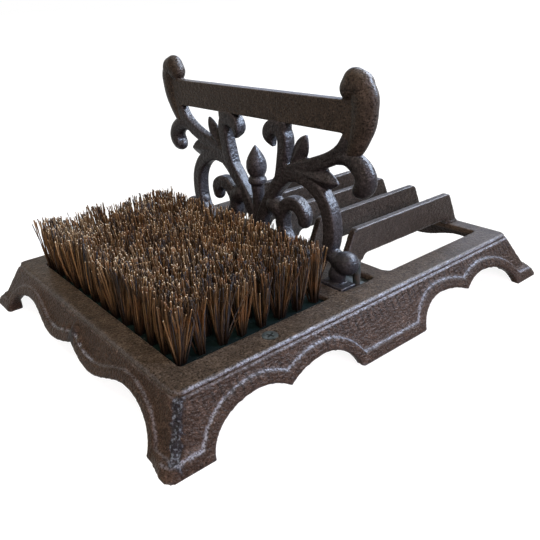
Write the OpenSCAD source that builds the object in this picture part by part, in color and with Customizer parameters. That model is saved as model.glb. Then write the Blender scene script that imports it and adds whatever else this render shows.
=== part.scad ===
// Cast iron boot scraper with a brush, in millimetres.
// X runs along the long side, Y along the scraper blade, Z up. Origin on the ground, at the centre.

/* [Base] */
// Length over the feet, without the lip
base_l = 365; // [360:1:390]
// Width over the feet, without the lip
base_w = 291; // [286:1:310]
// Height of the top face above the ground
base_h = 38; // [36:0.5:44]
// Length of the top face
plate_l = 330; // [326:1:336]
// Width of the top face
plate_w = 253; // [250:1:258]
// Thickness of the top
plate_t = 5; // [4:0.5:6]
// Thickness of the skirts
wall_t = 5; // [4:0.5:6]
// Depth of the step under the top edge
step_h = 3; // [2:0.5:4]
// Width of the step under the top edge
step_w = 1.4; // [0.8:0.2:2]
// Width of the raised lip along the scalloped edge
lip_w = 6; // [4:0.5:8]
// How far the lip stands out
lip_out = 1.5; // [1:0.25:2]
// How far the corners of the base are cut back
corner = 5; // [2:0.5:7]
// Height of the scallop crowns above the ground
crown_h = 22; // [20:0.5:24]
// Width of each foot along a long side
foot_l = 27.5; // [26:1:34]
// Width of each foot along a short side
foot_w = 27.5; // [26:1:34]
// Width of the centre tab of a long side
tab_l = 64; // [56:1:70]
// Radius of the middle petal of the shell on a short side
shell_r = 5.5; // [4:0.5:6]
// Gap under the centre tab
tab_gap = 4; // [2:0.5:6]

/* [Openings] */
// Left edge of the brush opening
brush_x0 = -149; // [-150:0.5:-146]
// Right edge of the brush opening
brush_x1 = -27; // [-32:0.5:-26]
// Width of both openings
open_w = 210; // [204:1:212]
// Left edge of the grid opening
grid_x0 = 35.5; // [35:0.5:42]
// Right edge of the grid opening
grid_x1 = 150; // [146:0.5:152]
// Corner radius beside the cross-bar
grid_r = 8; // [4:0.5:10]
// Other corner radius
open_r = 2.5; // [1:0.5:4]

/* [Scraper bars] */
// Spacing of the bars
bar_pitch = 37.5; // [34:0.5:39]
// Thickness of a bar
bar_t = 6; // [4:0.5:7]
// Height of a bar above the top face
bar_h = 28; // [24:0.5:34]
// Clear height under a bar above the top face
bar_gap = 5; // [3:0.5:8]
// Corner radius of a bar
bar_r = 5; // [3:0.5:6]

/* [Upright] */
// Centre plane of the upright along X
up_x = -1.5; // [-3:0.5:1]
// Width over the knobs
up_w = 250; // [244:1:254]
// Height above the top face
up_h = 152; // [140:1:170]
// Thickness of the blade
blade_t = 8; // [6:0.5:10]
// Thickness of the scrolls
scroll_t = 9.8; // [8:0.2:11]
// Length of a fixing slot along X
slot_l = 34; // [32:0.5:36]
// Clearance of the tenon in its slot
tenon_gap = 0.6; // [0.3:0.1:1]

/* [Brush] */
// Height of the bristle tips above the top face
tip_h = 38; // [30:1:44]
// Thickness of the block
block_t = 14; // [12:0.5:15]
// How far the block reaches under the rims
block_lap = 8; // [5:0.5:8]
// Thickness of the slice that holds a row
slice_t = 2; // [1.5:0.5:2.5]
// Gap between fitted pieces
fit_gap = 0.2; // [0.1:0.05:0.3]
// Width of a strand at its root
strand_w = 2.4; // [1.6:0.2:2.8]

/* [Fixings] */
// Head diameter of a brush screw
screw_head_d = 10.5; // [9:0.5:11]
// Shank diameter of a brush screw
screw_d = 5; // [4:0.5:5]
// Length of a brush screw
screw_l = 16; // [14:0.5:17]
// Shank diameter of an upright bolt
bolt_d = 5.5; // [4.5:0.5:6]
// Width across the flats of a bolt head
bolt_af = 10; // [9:0.5:11]
// Height of a bolt head
bolt_k = 4; // [3:0.5:4]
// Thickness of a clamp plate
clamp_t = 3; // [2:0.5:4]
// Thickness of a spring washer
spring_t = 1.6; // [1:0.2:2]

/* [Hidden] */
$fn = 48;
iron = [0.27, 0.23, 0.21];
green = [0.08, 0.16, 0.14];
coir = [0.45, 0.32, 0.18];
steel = [0.35, 0.37, 0.36];
far = 600;
skirt_h = base_h - step_h;
skirt_l = plate_l + 2 * step_w;
skirt_w = plate_w + 2 * step_w;
wall_x = wall_t * sqrt(pow((base_l - skirt_l) / 2, 2) + pow(skirt_h, 2)) / skirt_h;
wall_y = wall_t * sqrt(pow((base_w - skirt_w) / 2, 2) + pow(skirt_h, 2)) / skirt_h;
under = base_h - plate_t;
row_n = 13;
tuft_n = 8;
row_w = (open_w - 2 * fit_gap) / row_n;
block_top = under - fit_gap;
brush_xc = (brush_x0 + brush_x1) / 2;
screw_y = (open_w + plate_w) / 4 - 1.5;
slot_x = up_x + 5.5;
slot_y0 = open_w / 2 - 25;
slot_y1 = open_w / 2 - 0.5;
bolt_x = up_x + 7;
bolt_y = slot_y1 - 0.5 - bolt_d / 2;
tenon_x0 = slot_x - slot_l / 2 + tenon_gap;
tenon_x1 = bolt_x - bolt_d / 2 - 0.8;
ball_h = 16.5;
kw = up_w / 250;
kh = up_h / 152;

function foot_x(z) = base_l / 2 - (base_l - skirt_l) / 2 * z / skirt_h;
function foot_y(z) = base_w / 2 - (base_w - skirt_w) / 2 * z / skirt_h;

// Points of a quarter of an ellipse about [x, z], from angle a0 to a1.
function bow(x, z, a, b, a0, a1, n = 8) =
    [for (i = [0 : n]) [x + a * cos(a0 + (a1 - a0) * i / n), z + b * sin(a0 + (a1 - a0) * i / n)]];

// A block with sloping sides, from outer size bl by bw at z0 to tl by tw at z1.
module sloped(bl, bw, tl, tw, z0, z1) {
    d0 = ((bl + bw) / 2 - corner) / sqrt(2);
    d1 = ((tl + tw) / 2 - corner) / sqrt(2);
    intersection() {
        rotate([90, 0, 0])
            linear_extrude(bw + 2, center = true)
                polygon([[-bl / 2, z0], [bl / 2, z0], [tl / 2, z1], [-tl / 2, z1]]);
        rotate([90, 0, 90])
            linear_extrude(bl + 2, center = true)
                polygon([[-bw / 2, z0], [bw / 2, z0], [tw / 2, z1], [-tw / 2, z1]]);
        intersection_for (a = [45, 135])
            rotate([90, 0, a])
                linear_extrude(bl + bw, center = true)
                    polygon([[-d0, z0], [d0, z0], [d1, z1], [-d1, z1]]);
    }
}

// A rectangle with its own radius at the left and right corners.
module slot_shape(x0, x1, y0, y1, rl, rr) {
    difference() {
        translate([x0, y0])
            square([x1 - x0, y1 - y0]);
        for (c = [[x0, y0, 1, 1, rl], [x0, y1, 1, -1, rl], [x1, y0, -1, 1, rr], [x1, y1, -1, -1, rr]])
            difference() {
                translate([min(c[0], c[0] + c[2] * c[4]) - (c[2] > 0 ? 1 : 0),
                        min(c[1], c[1] + c[3] * c[4]) - (c[3] > 0 ? 1 : 0)])
                    square([c[4] + 1, c[4] + 1]);
                translate([c[0] + c[2] * c[4], c[1] + c[3] * c[4]])
                    circle(c[4]);
            }
    }
}

// Half of the opening under a long side: two unequal bows that meet in a cusp. It grows by g for the lip.
module long_bows(g) {
    foot_in = base_l / 2 - foot_l;
    mid = (foot_in + tab_l / 2) / 2;
    crown_a = foot_in - 39;
    crown_b = tab_l / 2 + 28.5;
    base_z = -2;
    rise = crown_h - base_z + g;
    polygon(concat(
        [[crown_a + 40 + g, -20]],
        bow(crown_a, base_z, 40 + g, rise, 0, 90),
        bow(crown_a, base_z, 33 + g, rise, 90, 160),
        [[mid, -20]]));
    polygon(concat(
        [[mid, -20]],
        bow(crown_b, base_z, 45 + g, rise, 20, 90),
        bow(crown_b, base_z, 28 + g, rise, 90, 180),
        [[crown_b - 28 - g, -20]]));
}

// The opening under a short side: feet, crowns, two hanging lobes and a point at the middle.
module short_wave(g) {
    foot_in = base_w / 2 - foot_w;
    crown = foot_in - 38;
    lobe = 32;
    low = 12.2 + g;
    high = crown_h + 0.7 + g;
    side = concat(
        [for (i = [0 : 6]) [lobe * i / 6, low + (19 + g - low) * (1 - sin(90 * i / 6))]],
        [for (i = [1 : 10]) [lobe + (crown - lobe) * i / 10, (low + high) / 2 - (high - low) / 2 * cos(18 * i)]],
        bow(crown, -1.3, 38 + g, high + 1.3, 81, 0),
        [[crown + 38 + g, -20]]);
    polygon(concat([for (p = side) p], [for (i = [len(side) - 1 : -1 : 1]) [-side[i][0], side[i][1]]]));
}

module long_cut(g) {
    rotate([90, 0, 0])
        linear_extrude(far, center = true) {
            long_bows(g);
            mirror([1, 0])
                long_bows(g);
        }
}

module short_cut(g) {
    rotate([90, 0, 90])
        linear_extrude(far, center = true)
            short_wave(g);
}

module hollow() {
    sloped(base_l - 2 * wall_x + 2 * (foot_x(0) - foot_x(2)), base_w - 2 * wall_y + 2 * (foot_y(0) - foot_y(2)),
        2 * (foot_x(under) - wall_x), 2 * (foot_y(under) - wall_y), -2, under);
}

// A rounded petal lying on the left skirt, from p to q, each [y, distance down the slope].
module petal(p, q, r, out) {
    lean = atan2((base_l - skirt_l) / 2, skirt_h);
    run = sqrt(pow(q[0] - p[0], 2) + pow(q[1] - p[1], 2));
    translate([-skirt_l / 2, 0, skirt_h])
        rotate([0, lean, 0])
            translate([r - out, p[0], -p[1]])
                rotate([atan2(p[0] - q[0], p[1] - q[1]), 0, 0]) {
                    sphere(r);
                    cylinder(h = run, r = r);
                    translate([0, 0, run])
                        sphere(r);
                }
}

// The shell of five petals over the middle of a short side.
module shell() {
    petal([0, shell_r + 2.6], [0, shell_r + 5], shell_r, 3);
    for (s = [-1, 1]) {
        petal([s * 10.8, 12.3], [s * 12.5, 16.5], shell_r * 0.68, 2.6);
        petal([s * 18.3, 15.3], [s * 20.3, 19.2], shell_r * 0.58, 2.4);
    }
}

// Bar number i: sloping ends, rounded top corners and a clear gap over the opening.
module bar(i) {
    x0 = grid_x0 - 19;
    x1 = grid_x1 + 13;
    slope = bar_h * 0.4;
    top = base_h + bar_h;
    color(iron)
        translate([0, (i - 3) * bar_pitch, 0])
            rotate([90, 0, 0])
                linear_extrude(bar_t, center = true)
                    difference() {
                        polygon(concat(
                            [[x0, base_h], [x1, base_h]],
                            bow(x1 - slope - bar_r, top - bar_r, bar_r, bar_r, 20, 90, 5),
                            bow(x0 + slope + bar_r, top - bar_r, bar_r, bar_r, 90, 160, 5)));
                        slot_shape(grid_x0 + 4, grid_x1 - 2, base_h - 20, base_h + bar_gap, bar_gap, bar_gap);
                    }
}

module bar_1() { bar(1); }
module bar_2() { bar(2); }
module bar_3() { bar(3); }
module bar_4() { bar(4); }
module bar_5() { bar(5); }

// Outer walls of the base with the lip, open at the scallops and parted at the corners.
module walls(long) {
    // The parting runs beside the corner ridge at 45 degrees, so that each corner stays whole on its long side
    in_x = (base_l + skirt_l - base_w - skirt_w) / 4 + corner + 2;
    out_y = max(base_w, skirt_w) / 2 + 2 * lip_out;
    out_x = in_x + out_y;
    difference() {
        intersection() {
            union() {
                sloped(base_l, base_w, skirt_l, skirt_w, 0, skirt_h);
                if (!long)
                    shell();
                intersection() {
                    sloped(base_l + 2 * lip_out, base_w + 2 * lip_out, skirt_l + 2 * lip_out,
                        skirt_w + 2 * lip_out, 0, skirt_h);
                    union() {
                        translate([-far / 2, -far / 2, -1])
                            cube([far, far, 1 + lip_w + 3.5]);
                        if (long)
                            long_cut(lip_w);
                        else
                            short_cut(lip_w);
                    }
                }
            }
            linear_extrude(under)
                if (long)
                    polygon([[-out_x, -out_y], [out_x, -out_y], [in_x, 0], [-in_x, 0]]);
                else
                    polygon([[-out_x, -out_y], [-in_x, 0], [-out_x, out_y]]);
        }
        hollow();
        if (long) {
            long_cut(0);
            translate([-tab_l / 2 - 10, -far / 2, -1])
                cube([tab_l + 20, far, 1 + tab_gap]);
        } else
            short_cut(0);
    }
}

module skirt_front() { color(iron) walls(true); }
module skirt_back() { color(iron) rotate([0, 0, 180]) walls(true); }
module skirt_left() { color(iron) walls(false); }
module skirt_right() { color(iron) rotate([0, 0, 180]) walls(false); }

// The rims of the flat top with its step, one opening for the brush and the grid, and the screw holes.
module base_top() {
    color(iron)
        difference() {
            union() {
                sloped(2 * foot_x(under), 2 * foot_y(under), skirt_l, skirt_w, under, skirt_h);
                translate([-plate_l / 2, -plate_w / 2, under])
                    cube([plate_l, plate_w, plate_t]);
            }
            translate([0, 0, under - 5])
                linear_extrude(plate_t + 10)
                    slot_shape(brush_x0, grid_x1, -open_w / 2, open_w / 2, open_r, open_r);
            for (s = [-1, 1])
                translate([brush_xc, s * screw_y, 0]) {
                    translate([0, 0, under - 1])
                        cylinder(h = plate_t + 2, d = screw_d + 2 * fit_gap);
                    translate([0, 0, base_h - screw_head_d / 2 + screw_d / 2])
                        cylinder(h = screw_head_d / 2 - screw_d / 2 + 0.01, d1 = screw_d + 2 * fit_gap,
                            d2 = screw_head_d + 2 * fit_gap);
                }
        }
}

// The bar of the flat top between the brush and the grid, with its fixing slots. Its fillets end bluntly.
module cross_bar() {
    x0 = brush_x1 - open_r * 0.7;
    x1 = grid_x0 + grid_r * 0.8;
    color(iron)
        translate([0, 0, under])
            linear_extrude(plate_t)
                difference() {
                    translate([x0, -open_w / 2])
                        square([x1 - x0, open_w]);
                    slot_shape(brush_x0, brush_x1, -open_w / 2, open_w / 2, open_r, open_r);
                    slot_shape(grid_x0, grid_x1, -open_w / 2, open_w / 2, grid_r, open_r);
                    for (s = [0, 1])
                        mirror([0, s])
                            slot_shape(slot_x - slot_l / 2, slot_x + slot_l / 2, slot_y0, slot_y1, 4.5, 4.5);
                }
}

// Sections of a strand, each point [share of its half width, share of its half thickness]
flat_bar = [[1, 0.5], [0.75, 1], [-0.75, 1], [-1, 0.5], [-1, -0.5], [-0.75, -1], [0.75, -1], [1, -0.5]];
round_bar = [for (a = [22.5 : 45 : 360]) 1.06 * [cos(a), sin(a)]];
ridged = [[1, 0.35], [0, 1], [-1, 0.35], [-1, -0.35], [0, -1], [1, -0.35]];

// A smooth line through control points [u, w, half width, share of the scroll thickness], k steps to a span.
function smooth(p, k = 2) =
    [for (i = [0 : len(p) - 2]) for (j = [0 : k - 1])
        let (a = p[max(i - 1, 0)], b = p[i], c = p[i + 1], d = p[min(i + 2, len(p) - 1)], t = j / k)
            0.5 * (2 * b + (c - a) * t + (2 * a - 5 * b + 4 * c - d) * t * t + (3 * b - a - 3 * c + d) * t * t * t),
     p[len(p) - 1]];

// A strand of the given section through those points, in the plane of the upright.
module strand(p, section = flat_bar) {
    q = smooth(p);
    m = len(q);
    n = len(section);
    ring = [for (i = [0 : m - 1])
        let (a = q[max(i - 1, 0)], b = q[min(i + 1, m - 1)], du = (b[0] - a[0]) * kw, dw = (b[1] - a[1]) * kh,
            l = sqrt(du * du + dw * dw))
            for (c = section)
                [q[i][3] * scroll_t / 2 * c[1], q[i][0] * kw - dw / l * q[i][2] * c[0],
                 q[i][1] * kh + du / l * q[i][2] * c[0]]];
    tube = [for (i = [0 : m - 2]) for (j = [0 : n - 1])
        let (a = i * n + j, b = i * n + (j + 1) % n)
            [a, a + n, b + n, b]];
    polyhedron(points = ring, faces = concat(tube, [[for (j = [0 : n - 1]) j]],
        [[for (j = [n - 1 : -1 : 0]) (m - 1) * n + j]]), convexity = 8);
}

// A bead of its own half sizes at [u, w].
module bead(u, w, r, t, n = 10) {
    translate([0, u * kw, w * kh])
        scale([t, r, r])
            sphere(1, $fn = n);
}

// A leaf or drop between two beads.
module drop(a, b) {
    hull() {
        bead(a[0], a[1], a[2], a[3]);
        bead(b[0], b[1], b[2], b[3]);
    }
}

// One half of the upright, on the +Y side, with w = 0 on the top face.
module upright_half() {
    // Stem, diagonal arm and inner edge of the post
    strand([[2, 20, 4.5, 0.9], [8, 34, 5, 0.95], [16, 47, 5.2, 1], [26, 60, 5.6, 1], [38, 71, 6, 0.95],
        [52, 78, 5.5, 0.85], [68, 84, 5.2, 0.78], [84, 90.5, 5.2, 0.78], [95, 98, 5.2, 0.8],
        [101.5, 107, 5.2, 0.82], [103.5, 119, 5, 0.82], [104, 131, 5, 0.82]]);
    // Crescent of the post and its knob
    strand([[109.5, 142, 8.4, 1.28], [113.4, 134, 10.2, 1.35], [114, 127, 9.8, 1.3], [113, 118, 9.4, 1.22],
        [110.4, 110.5, 8.4, 1.12], [107, 103, 7.2, 1], [103.5, 97.5, 5.8, 0.9], [100, 93.5, 4, 0.75]],
        round_bar);
    drop([102.3, 138, 8.2, 6.7], [106, 141.8, 9.3, 7.1]);
    drop([106, 141.8, 9.3, 7.1], [111, 140.2, 9.2, 7.1]);
    // Hook
    strand([[88, 91, 4.4, 0.75], [97, 93.2, 5.6, 0.9], [105, 91.8, 6.2, 1.05], [112, 87, 6.6, 1.15],
        [115, 80.5, 6.8, 1.2], [113, 75.5, 6, 1.1], [107.5, 72, 2, 0.5]], round_bar);
    // Spiral leg
    strand([[40, 70.5, 4.6, 0.85], [52, 72.5, 5.2, 0.95], [64, 69.5, 5.5, 1], [74.5, 62.5, 5.7, 1.05],
        [81.5, 52, 5.8, 1.1], [84, 40, 5.8, 1.1], [83, 28, 5.6, 1.1], [78, 18, 5.4, 1.05], [69, 11.5, 5.2, 1],
        [57, 9, 5, 1], [45, 11, 5, 1], [35.5, 18, 5, 1], [30.5, 28, 5, 1], [31, 39.5, 5.2, 1],
        [37.5, 47.5, 5.4, 1], [46, 49.5, 5.5, 1], [53, 46, 5.4, 1], [55.3, 41, 5.2, 0.95]]);
    drop([55.6, 41.5, 5.9, 5.4], [55, 37.8, 5.6, 5.2]);
    drop([21.5, 44.2, 8, 7], [27, 41.5, 7.6, 7]);
    // Ball foot, neck and tenon
    strand([[78, 28, 3.6, 0.7], [85, 19.7, 6, 1.15], [92, ball_h, 7.6, 1.55], [97, ball_h, 8.2, 1.7]],
        round_bar);
    drop([97, ball_h, 9.6, 9.6], [99, ball_h, 9.6, 9.6]);
    hull() {
        bead(92, ball_h - 6, 5, 6);
        translate([tenon_x0 - up_x + 4, slot_y0 + tenon_gap + 3, 0.5])
            cube([tenon_x1 - tenon_x0 - 6, 9, 0.2]);
    }
    translate([tenon_x0 - up_x, slot_y0 + tenon_gap, -plate_t + tenon_gap])
        linear_extrude(plate_t - tenon_gap + 1)
            slot_shape(0, tenon_x1 - tenon_x0, 0, slot_y1 - slot_y0 - 2 * tenon_gap, 4, 4, $fn = 24);
    // Upper curl and its shoulder under the blade
    strand([[27.5, 59, 4.6, 1], [32, 70, 5, 1.05], [34.5, 80, 5, 1.05], [36.5, 90, 5, 1.05],
        [37, 98, 5.3, 1.05], [33, 104.5, 5.6, 1.05], [26, 105.3, 5.8, 1.05], [20.6, 101.5, 5.2, 1.05],
        [20.2, 96.5, 4, 0.95], [23.2, 91.3, 1, 0.4]]);
    strand([[23.5, 107.6, 3.6, 0.85], [40, 107.6, 3.6, 0.85]]);
    // Upper and outer leaves
    strand([[42, 75, 2.4, 0.7], [48, 84, 5.6, 0.85], [53.5, 91.5, 7.4, 0.9], [57, 98, 5.4, 0.75],
        [59.5, 103, 1, 0.3]], ridged);
    strand([[50, 76.5, 2.5, 0.8], [60, 75.8, 6, 1], [71, 75, 8.2, 1.15], [80.5, 74.2, 7.6, 1.1],
        [87.5, 73.4, 3, 0.6]], ridged);
}

module scraper_upright() {
    color(iron)
        translate([up_x, 0, base_h])
            union() {
                difference() {
                    union() {
                        upright_half();
                        mirror([0, 1, 0])
                            upright_half();
                        hull()
                            for (s = [-1, 1])
                                for (w = [111.5, 129.8])
                                    translate([s * (blade_t / 2 - 1.5), 0, w * kh])
                                        rotate([90, 0, 0])
                                            cylinder(h = 206 * kw, r = 1.5, center = true, $fn = 8);
                        rotate_extrude($fn = 12)
                            polygon([[0, 18 * kh], [3.5, 22 * kh], [5.5, 56 * kh], [7.6, 57.5 * kh],
                                [7.6, 61 * kh], [5.8, 63 * kh], [8.4, 69 * kh], [7.9, 75 * kh], [4.5, 82 * kh],
                                [0, 88 * kh]]);
                    }
                    for (s = [-1, 1])
                        translate([bolt_x - up_x, s * bolt_y, -10])
                            cylinder(h = 10 + ball_h * kh, d = bolt_d + 2 * fit_gap, $fn = 16);
                }
            }
}

module brush_block() {
    color(green)
        difference() {
            translate([brush_x0 - block_lap, -open_w / 2 - 13, block_top - block_t])
                cube([brush_x1 - brush_x0 + 2 * block_lap, open_w + 26, block_t]);
            for (s = [-1, 1])
                translate([brush_xc, s * screw_y, base_h - screw_l - 1])
                    cylinder(h = screw_l, d = screw_d + 2 * fit_gap);
        }
}

// One strand of four sides, from its root to its tip.
module bristle(root, tip) {
    a = strand_w / 2;
    b = a * 0.7;
    polyhedron(points = [for (c = [[root, a], [tip, b]]) for (d = [[-1, -1], [1, -1], [1, 1], [-1, 1]])
            [c[0][0] + d[0] * c[1], c[0][1] + d[1] * c[1], c[0][2]]],
        faces = [[0, 1, 2, 3], [7, 6, 5, 4], [4, 5, 1, 0], [5, 6, 2, 1], [6, 7, 3, 2], [7, 4, 0, 3]]);
}

// A row of tufts, four strands each, that lean out at the edges of the brush.
module bristle_row(i) {
    len_x = brush_x1 - brush_x0 - 2 * fit_gap;
    y0 = -open_w / 2 + fit_gap + row_w * i;
    yc = y0 + row_w / 2;
    step = len_x / tuft_n;
    color(coir) {
        translate([brush_x0 + fit_gap, y0 + fit_gap / 2, block_top])
            cube([len_x, row_w - fit_gap, slice_t]);
        for (k = [0 : tuft_n - 1]) {
            xc = brush_x0 + fit_gap + step * (k + 0.5);
            fx = (xc - brush_xc) / (len_x / 2);
            fy = yc / (open_w / 2);
            wob = rands(-1, 1, 12, 100 * i + k);
            for (j = [0 : 3]) {
                sx = j % 2 * 2 - 1;
                sy = floor(j / 2) * 2 - 1;
                bristle([xc + sx * 2, yc + sy * 2, block_top + slice_t - 0.5],
                    [xc + sx * step / 4 + pow(fx, 3) * 3 + wob[j] * 0.6,
                     yc + sy * row_w / 4 + pow(fy, 5) * 5 + wob[j + 4] * 0.6,
                     base_h + tip_h + wob[j + 8] - 1]);
            }
        }
    }
}

module bristle_row_01() { bristle_row(0); }
module bristle_row_02() { bristle_row(1); }
module bristle_row_03() { bristle_row(2); }
module bristle_row_04() { bristle_row(3); }
module bristle_row_05() { bristle_row(4); }
module bristle_row_06() { bristle_row(5); }
module bristle_row_07() { bristle_row(6); }
module bristle_row_08() { bristle_row(7); }
module bristle_row_09() { bristle_row(8); }
module bristle_row_10() { bristle_row(9); }
module bristle_row_11() { bristle_row(10); }
module bristle_row_12() { bristle_row(11); }
module bristle_row_13() { bristle_row(12); }

module brush_screws() {
    cone_h = screw_head_d / 2 - screw_d / 2;
    color(steel)
        for (s = [-1, 1])
            translate([brush_xc, s * screw_y, base_h])
                difference() {
                    rotate_extrude()
                        polygon([[0, 0], [screw_head_d / 2, 0], [screw_head_d / 2, -0.2], [screw_d / 2, -cone_h],
                            [screw_d / 2, 2.5 - screw_l], [0, -screw_l]]);
                    for (a = [0, 90])
                        rotate([0, 0, a + 20])
                            translate([-screw_head_d * 0.29, -0.6, -1.8])
                                cube([screw_head_d * 0.58, 1.2, 2]);
                }
}

module upright_bolts() {
    low = under - clamp_t - spring_t;
    color(steel)
        for (s = [-1, 1])
            translate([bolt_x, s * bolt_y, low]) {
                cylinder(h = base_h + ball_h * kh - 1 - low, d = bolt_d);
                translate([0, 0, -bolt_k])
                    cylinder(h = bolt_k, d = bolt_af / cos(30), $fn = 6);
            }
}

module clamp_plates() {
    color(steel)
        for (s = [-1, 1])
            mirror([0, s > 0 ? 0 : 1, 0])
                difference() {
                    translate([slot_x - slot_l / 2 - 3, slot_y0 - 4, under - clamp_t])
                        cube([slot_l + 6, slot_y1 - slot_y0 + 8, clamp_t]);
                    translate([bolt_x, bolt_y, under - clamp_t - 1])
                        cylinder(h = clamp_t + 2, d = bolt_d + 4 * fit_gap);
                }
}

module spring_washers() {
    color(steel)
        for (s = [-1, 1])
            translate([bolt_x, s * bolt_y, under - clamp_t - spring_t])
                difference() {
                    cylinder(h = spring_t, d = bolt_af + 0.6);
                    translate([0, 0, -1])
                        cylinder(h = spring_t + 2, d = bolt_d + 4 * fit_gap);
                    translate([0, -0.4, -1])
                        cube([bolt_af, 0.8, spring_t + 2]);
                }
}

base_top();
cross_bar();
skirt_front();
skirt_back();
skirt_left();
skirt_right();
bar_1();
bar_2();
bar_3();
bar_4();
bar_5();
scraper_upright();
brush_block();
bristle_row_01();
bristle_row_02();
bristle_row_03();
bristle_row_04();
bristle_row_05();
bristle_row_06();
bristle_row_07();
bristle_row_08();
bristle_row_09();
bristle_row_10();
bristle_row_11();
bristle_row_12();
bristle_row_13();
brush_screws();
upright_bolts();
clamp_plates();
spring_washers();
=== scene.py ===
import math
import random

import bpy
import numpy as np
from mathutils import Matrix, Vector, noise
from mathutils.kdtree import KDTree


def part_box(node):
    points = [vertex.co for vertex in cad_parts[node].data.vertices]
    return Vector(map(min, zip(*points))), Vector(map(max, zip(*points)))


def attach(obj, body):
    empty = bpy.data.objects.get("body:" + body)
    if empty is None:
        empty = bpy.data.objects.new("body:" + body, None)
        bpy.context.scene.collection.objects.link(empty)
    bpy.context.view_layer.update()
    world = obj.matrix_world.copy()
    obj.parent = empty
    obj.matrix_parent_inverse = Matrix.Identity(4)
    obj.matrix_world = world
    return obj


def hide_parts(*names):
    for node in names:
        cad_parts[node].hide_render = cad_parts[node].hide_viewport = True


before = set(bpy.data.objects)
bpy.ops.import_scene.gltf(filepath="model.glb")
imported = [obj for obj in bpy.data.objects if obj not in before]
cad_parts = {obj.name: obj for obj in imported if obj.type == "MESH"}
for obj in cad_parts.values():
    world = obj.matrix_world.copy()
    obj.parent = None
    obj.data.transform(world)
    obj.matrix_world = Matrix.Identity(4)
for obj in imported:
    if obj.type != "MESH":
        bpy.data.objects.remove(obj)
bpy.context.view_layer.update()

MM = 0.001


# Shader maths

class Tone:
    """A socket in a material's nodes, with the arithmetic that a finish needs."""

    def __init__(self, tree, socket=None):
        self.tree = tree
        self.socket = socket

    def node(self, kind, settings=None, sockets=None, out=0):
        """Adds a node: its settings first, then the values or links of its sockets. Gives one output."""
        made = self.tree.nodes.new(kind)
        for name, value in (settings or {}).items():
            setattr(made, name, value)
        for name, value in (sockets or {}).items():
            if isinstance(value, Tone):
                self.tree.links.new(value.socket, made.inputs[name])
            else:
                made.inputs[name].default_value = value
        return Tone(self.tree, made.outputs[out] if made.outputs else None)

    def math(self, operation, *values):
        return self.node("ShaderNodeMath", {"operation": operation}, dict(enumerate(values)))

    def __add__(self, other):
        return self.math("ADD", self, other)

    def __radd__(self, other):
        return self.math("ADD", other, self)

    def __sub__(self, other):
        return self.math("SUBTRACT", self, other)

    def __rsub__(self, other):
        return self.math("SUBTRACT", other, self)

    def __mul__(self, other):
        return self.math("MULTIPLY", self, other)

    def __rmul__(self, other):
        return self.math("MULTIPLY", other, self)

    def __pow__(self, other):
        return self.math("POWER", self, other)

    def over(self, low, high):
        """0 at low and 1 at high, with a soft step between. Low may be the larger of the two."""
        return self.node("ShaderNodeMapRange", {"interpolation_type": "SMOOTHSTEP"},
                         {"Value": self, "From Min": low, "From Max": high})

    def between(self, first, second):
        """The first colour where this is 0 and the second where it is 1."""
        return self.node("ShaderNodeMix", {"data_type": "RGBA"}, {0: self, 6: first, 7: second}, out=2)

    def place(self):
        """Coordinates in the object's frame, in metres."""
        return self.node("ShaderNodeTexCoord", out="Object")

    def noted(self, word):
        """The number that note() kept for each point."""
        return self.node("ShaderNodeAttribute", {"attribute_name": word}, out="Fac")

    def stretched(self, x, y, z):
        return self.node("ShaderNodeVectorMath", {"operation": "MULTIPLY"}, {0: self, 1: (x, y, z)})

    def grain(self, size, detail=3.0, rough=0.55):
        """Noise about size metres across, from these coordinates."""
        return self.node("ShaderNodeTexNoise", {},
                         {"Vector": self, "Scale": 1 / size, "Detail": detail, "Roughness": rough})

    def bump(self, distance, strength=1.0):
        return self.node("ShaderNodeBump", {}, {"Height": self, "Distance": distance, "Strength": strength})


def colour(red, green, blue):
    return (red, green, blue, 1.0)


def scaled(tone, share):
    """A lighter or darker colour of the same hue."""
    return colour(*[share * c for c in tone])


def new_finish(name):
    material = bpy.data.materials.new(name)
    material.use_nodes = True
    material.node_tree.nodes.clear()
    return material, Tone(material.node_tree)


def coat(start, **sockets):
    """The surface shader of a finish. A word's underscores stand for the spaces of the socket's name."""
    shader = start.node("ShaderNodeBsdfPrincipled", {}, {k.replace("_", " "): v for k, v in sockets.items()})
    start.node("ShaderNodeOutputMaterial", {}, {"Surface": shader})


# Finishes

# Colours that all the iron shares
# Painted shade that darkens the creases of the iron
PAINTED_CREASE_SHADE = colour(0.006, 0.005, 0.0045)
# Bare iron of the corner ridges and shell leaves, also used as painted shade on the ball feet
BARE_RIDGE_AND_SHADE = colour(0.010, 0.011, 0.014)
# Painted glints on the bare ridges
RIDGE_GLINT = colour(0.085, 0.100, 0.120)
WORN_EDGE = colour(0.095, 0.092, 0.098)
# Pale rubbed edges, which also carry a painted bluish highlight
RUBBED_AND_LIT_EDGE = colour(0.160, 0.178, 0.215)
TOOL_MARK = colour(0.009, 0.007, 0.006)
# Sizes of what is seen in its surface
PATCH, DUST, GLINT, SAND = 50 * MM, 7 * MM, 1.9 * MM, 1.2 * MM
# Tool marks under the ledge: half their pitch, how far they stray, and where they start and fade
MARK_STEP, MARK_STRAY = 3.1 * MM, 4 * MM
MARK_FOOT, MARK_HEAD, MARK_END = (21 * MM, 28 * MM), (34.5 * MM, 33.5 * MM), (164 * MM, 158 * MM)


def tool_marks(place, dust, patch):
    """1 in the upright strokes along the top of the skirts and 0 between them."""
    x, z = [place.node("ShaderNodeSeparateXYZ", {}, {0: place}, out=axis) for axis in ("X", "Z")]
    stroke = place.math("PINGPONG", x + dust * MARK_STRAY, MARK_STEP).over(1.3 * MM, 0.4 * MM)
    band = z.over(*MARK_FOOT) * z.over(*MARK_HEAD)
    return stroke * band * place.math("ABSOLUTE", x).over(*MARK_END) * patch.over(0.38, 0.5)


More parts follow.
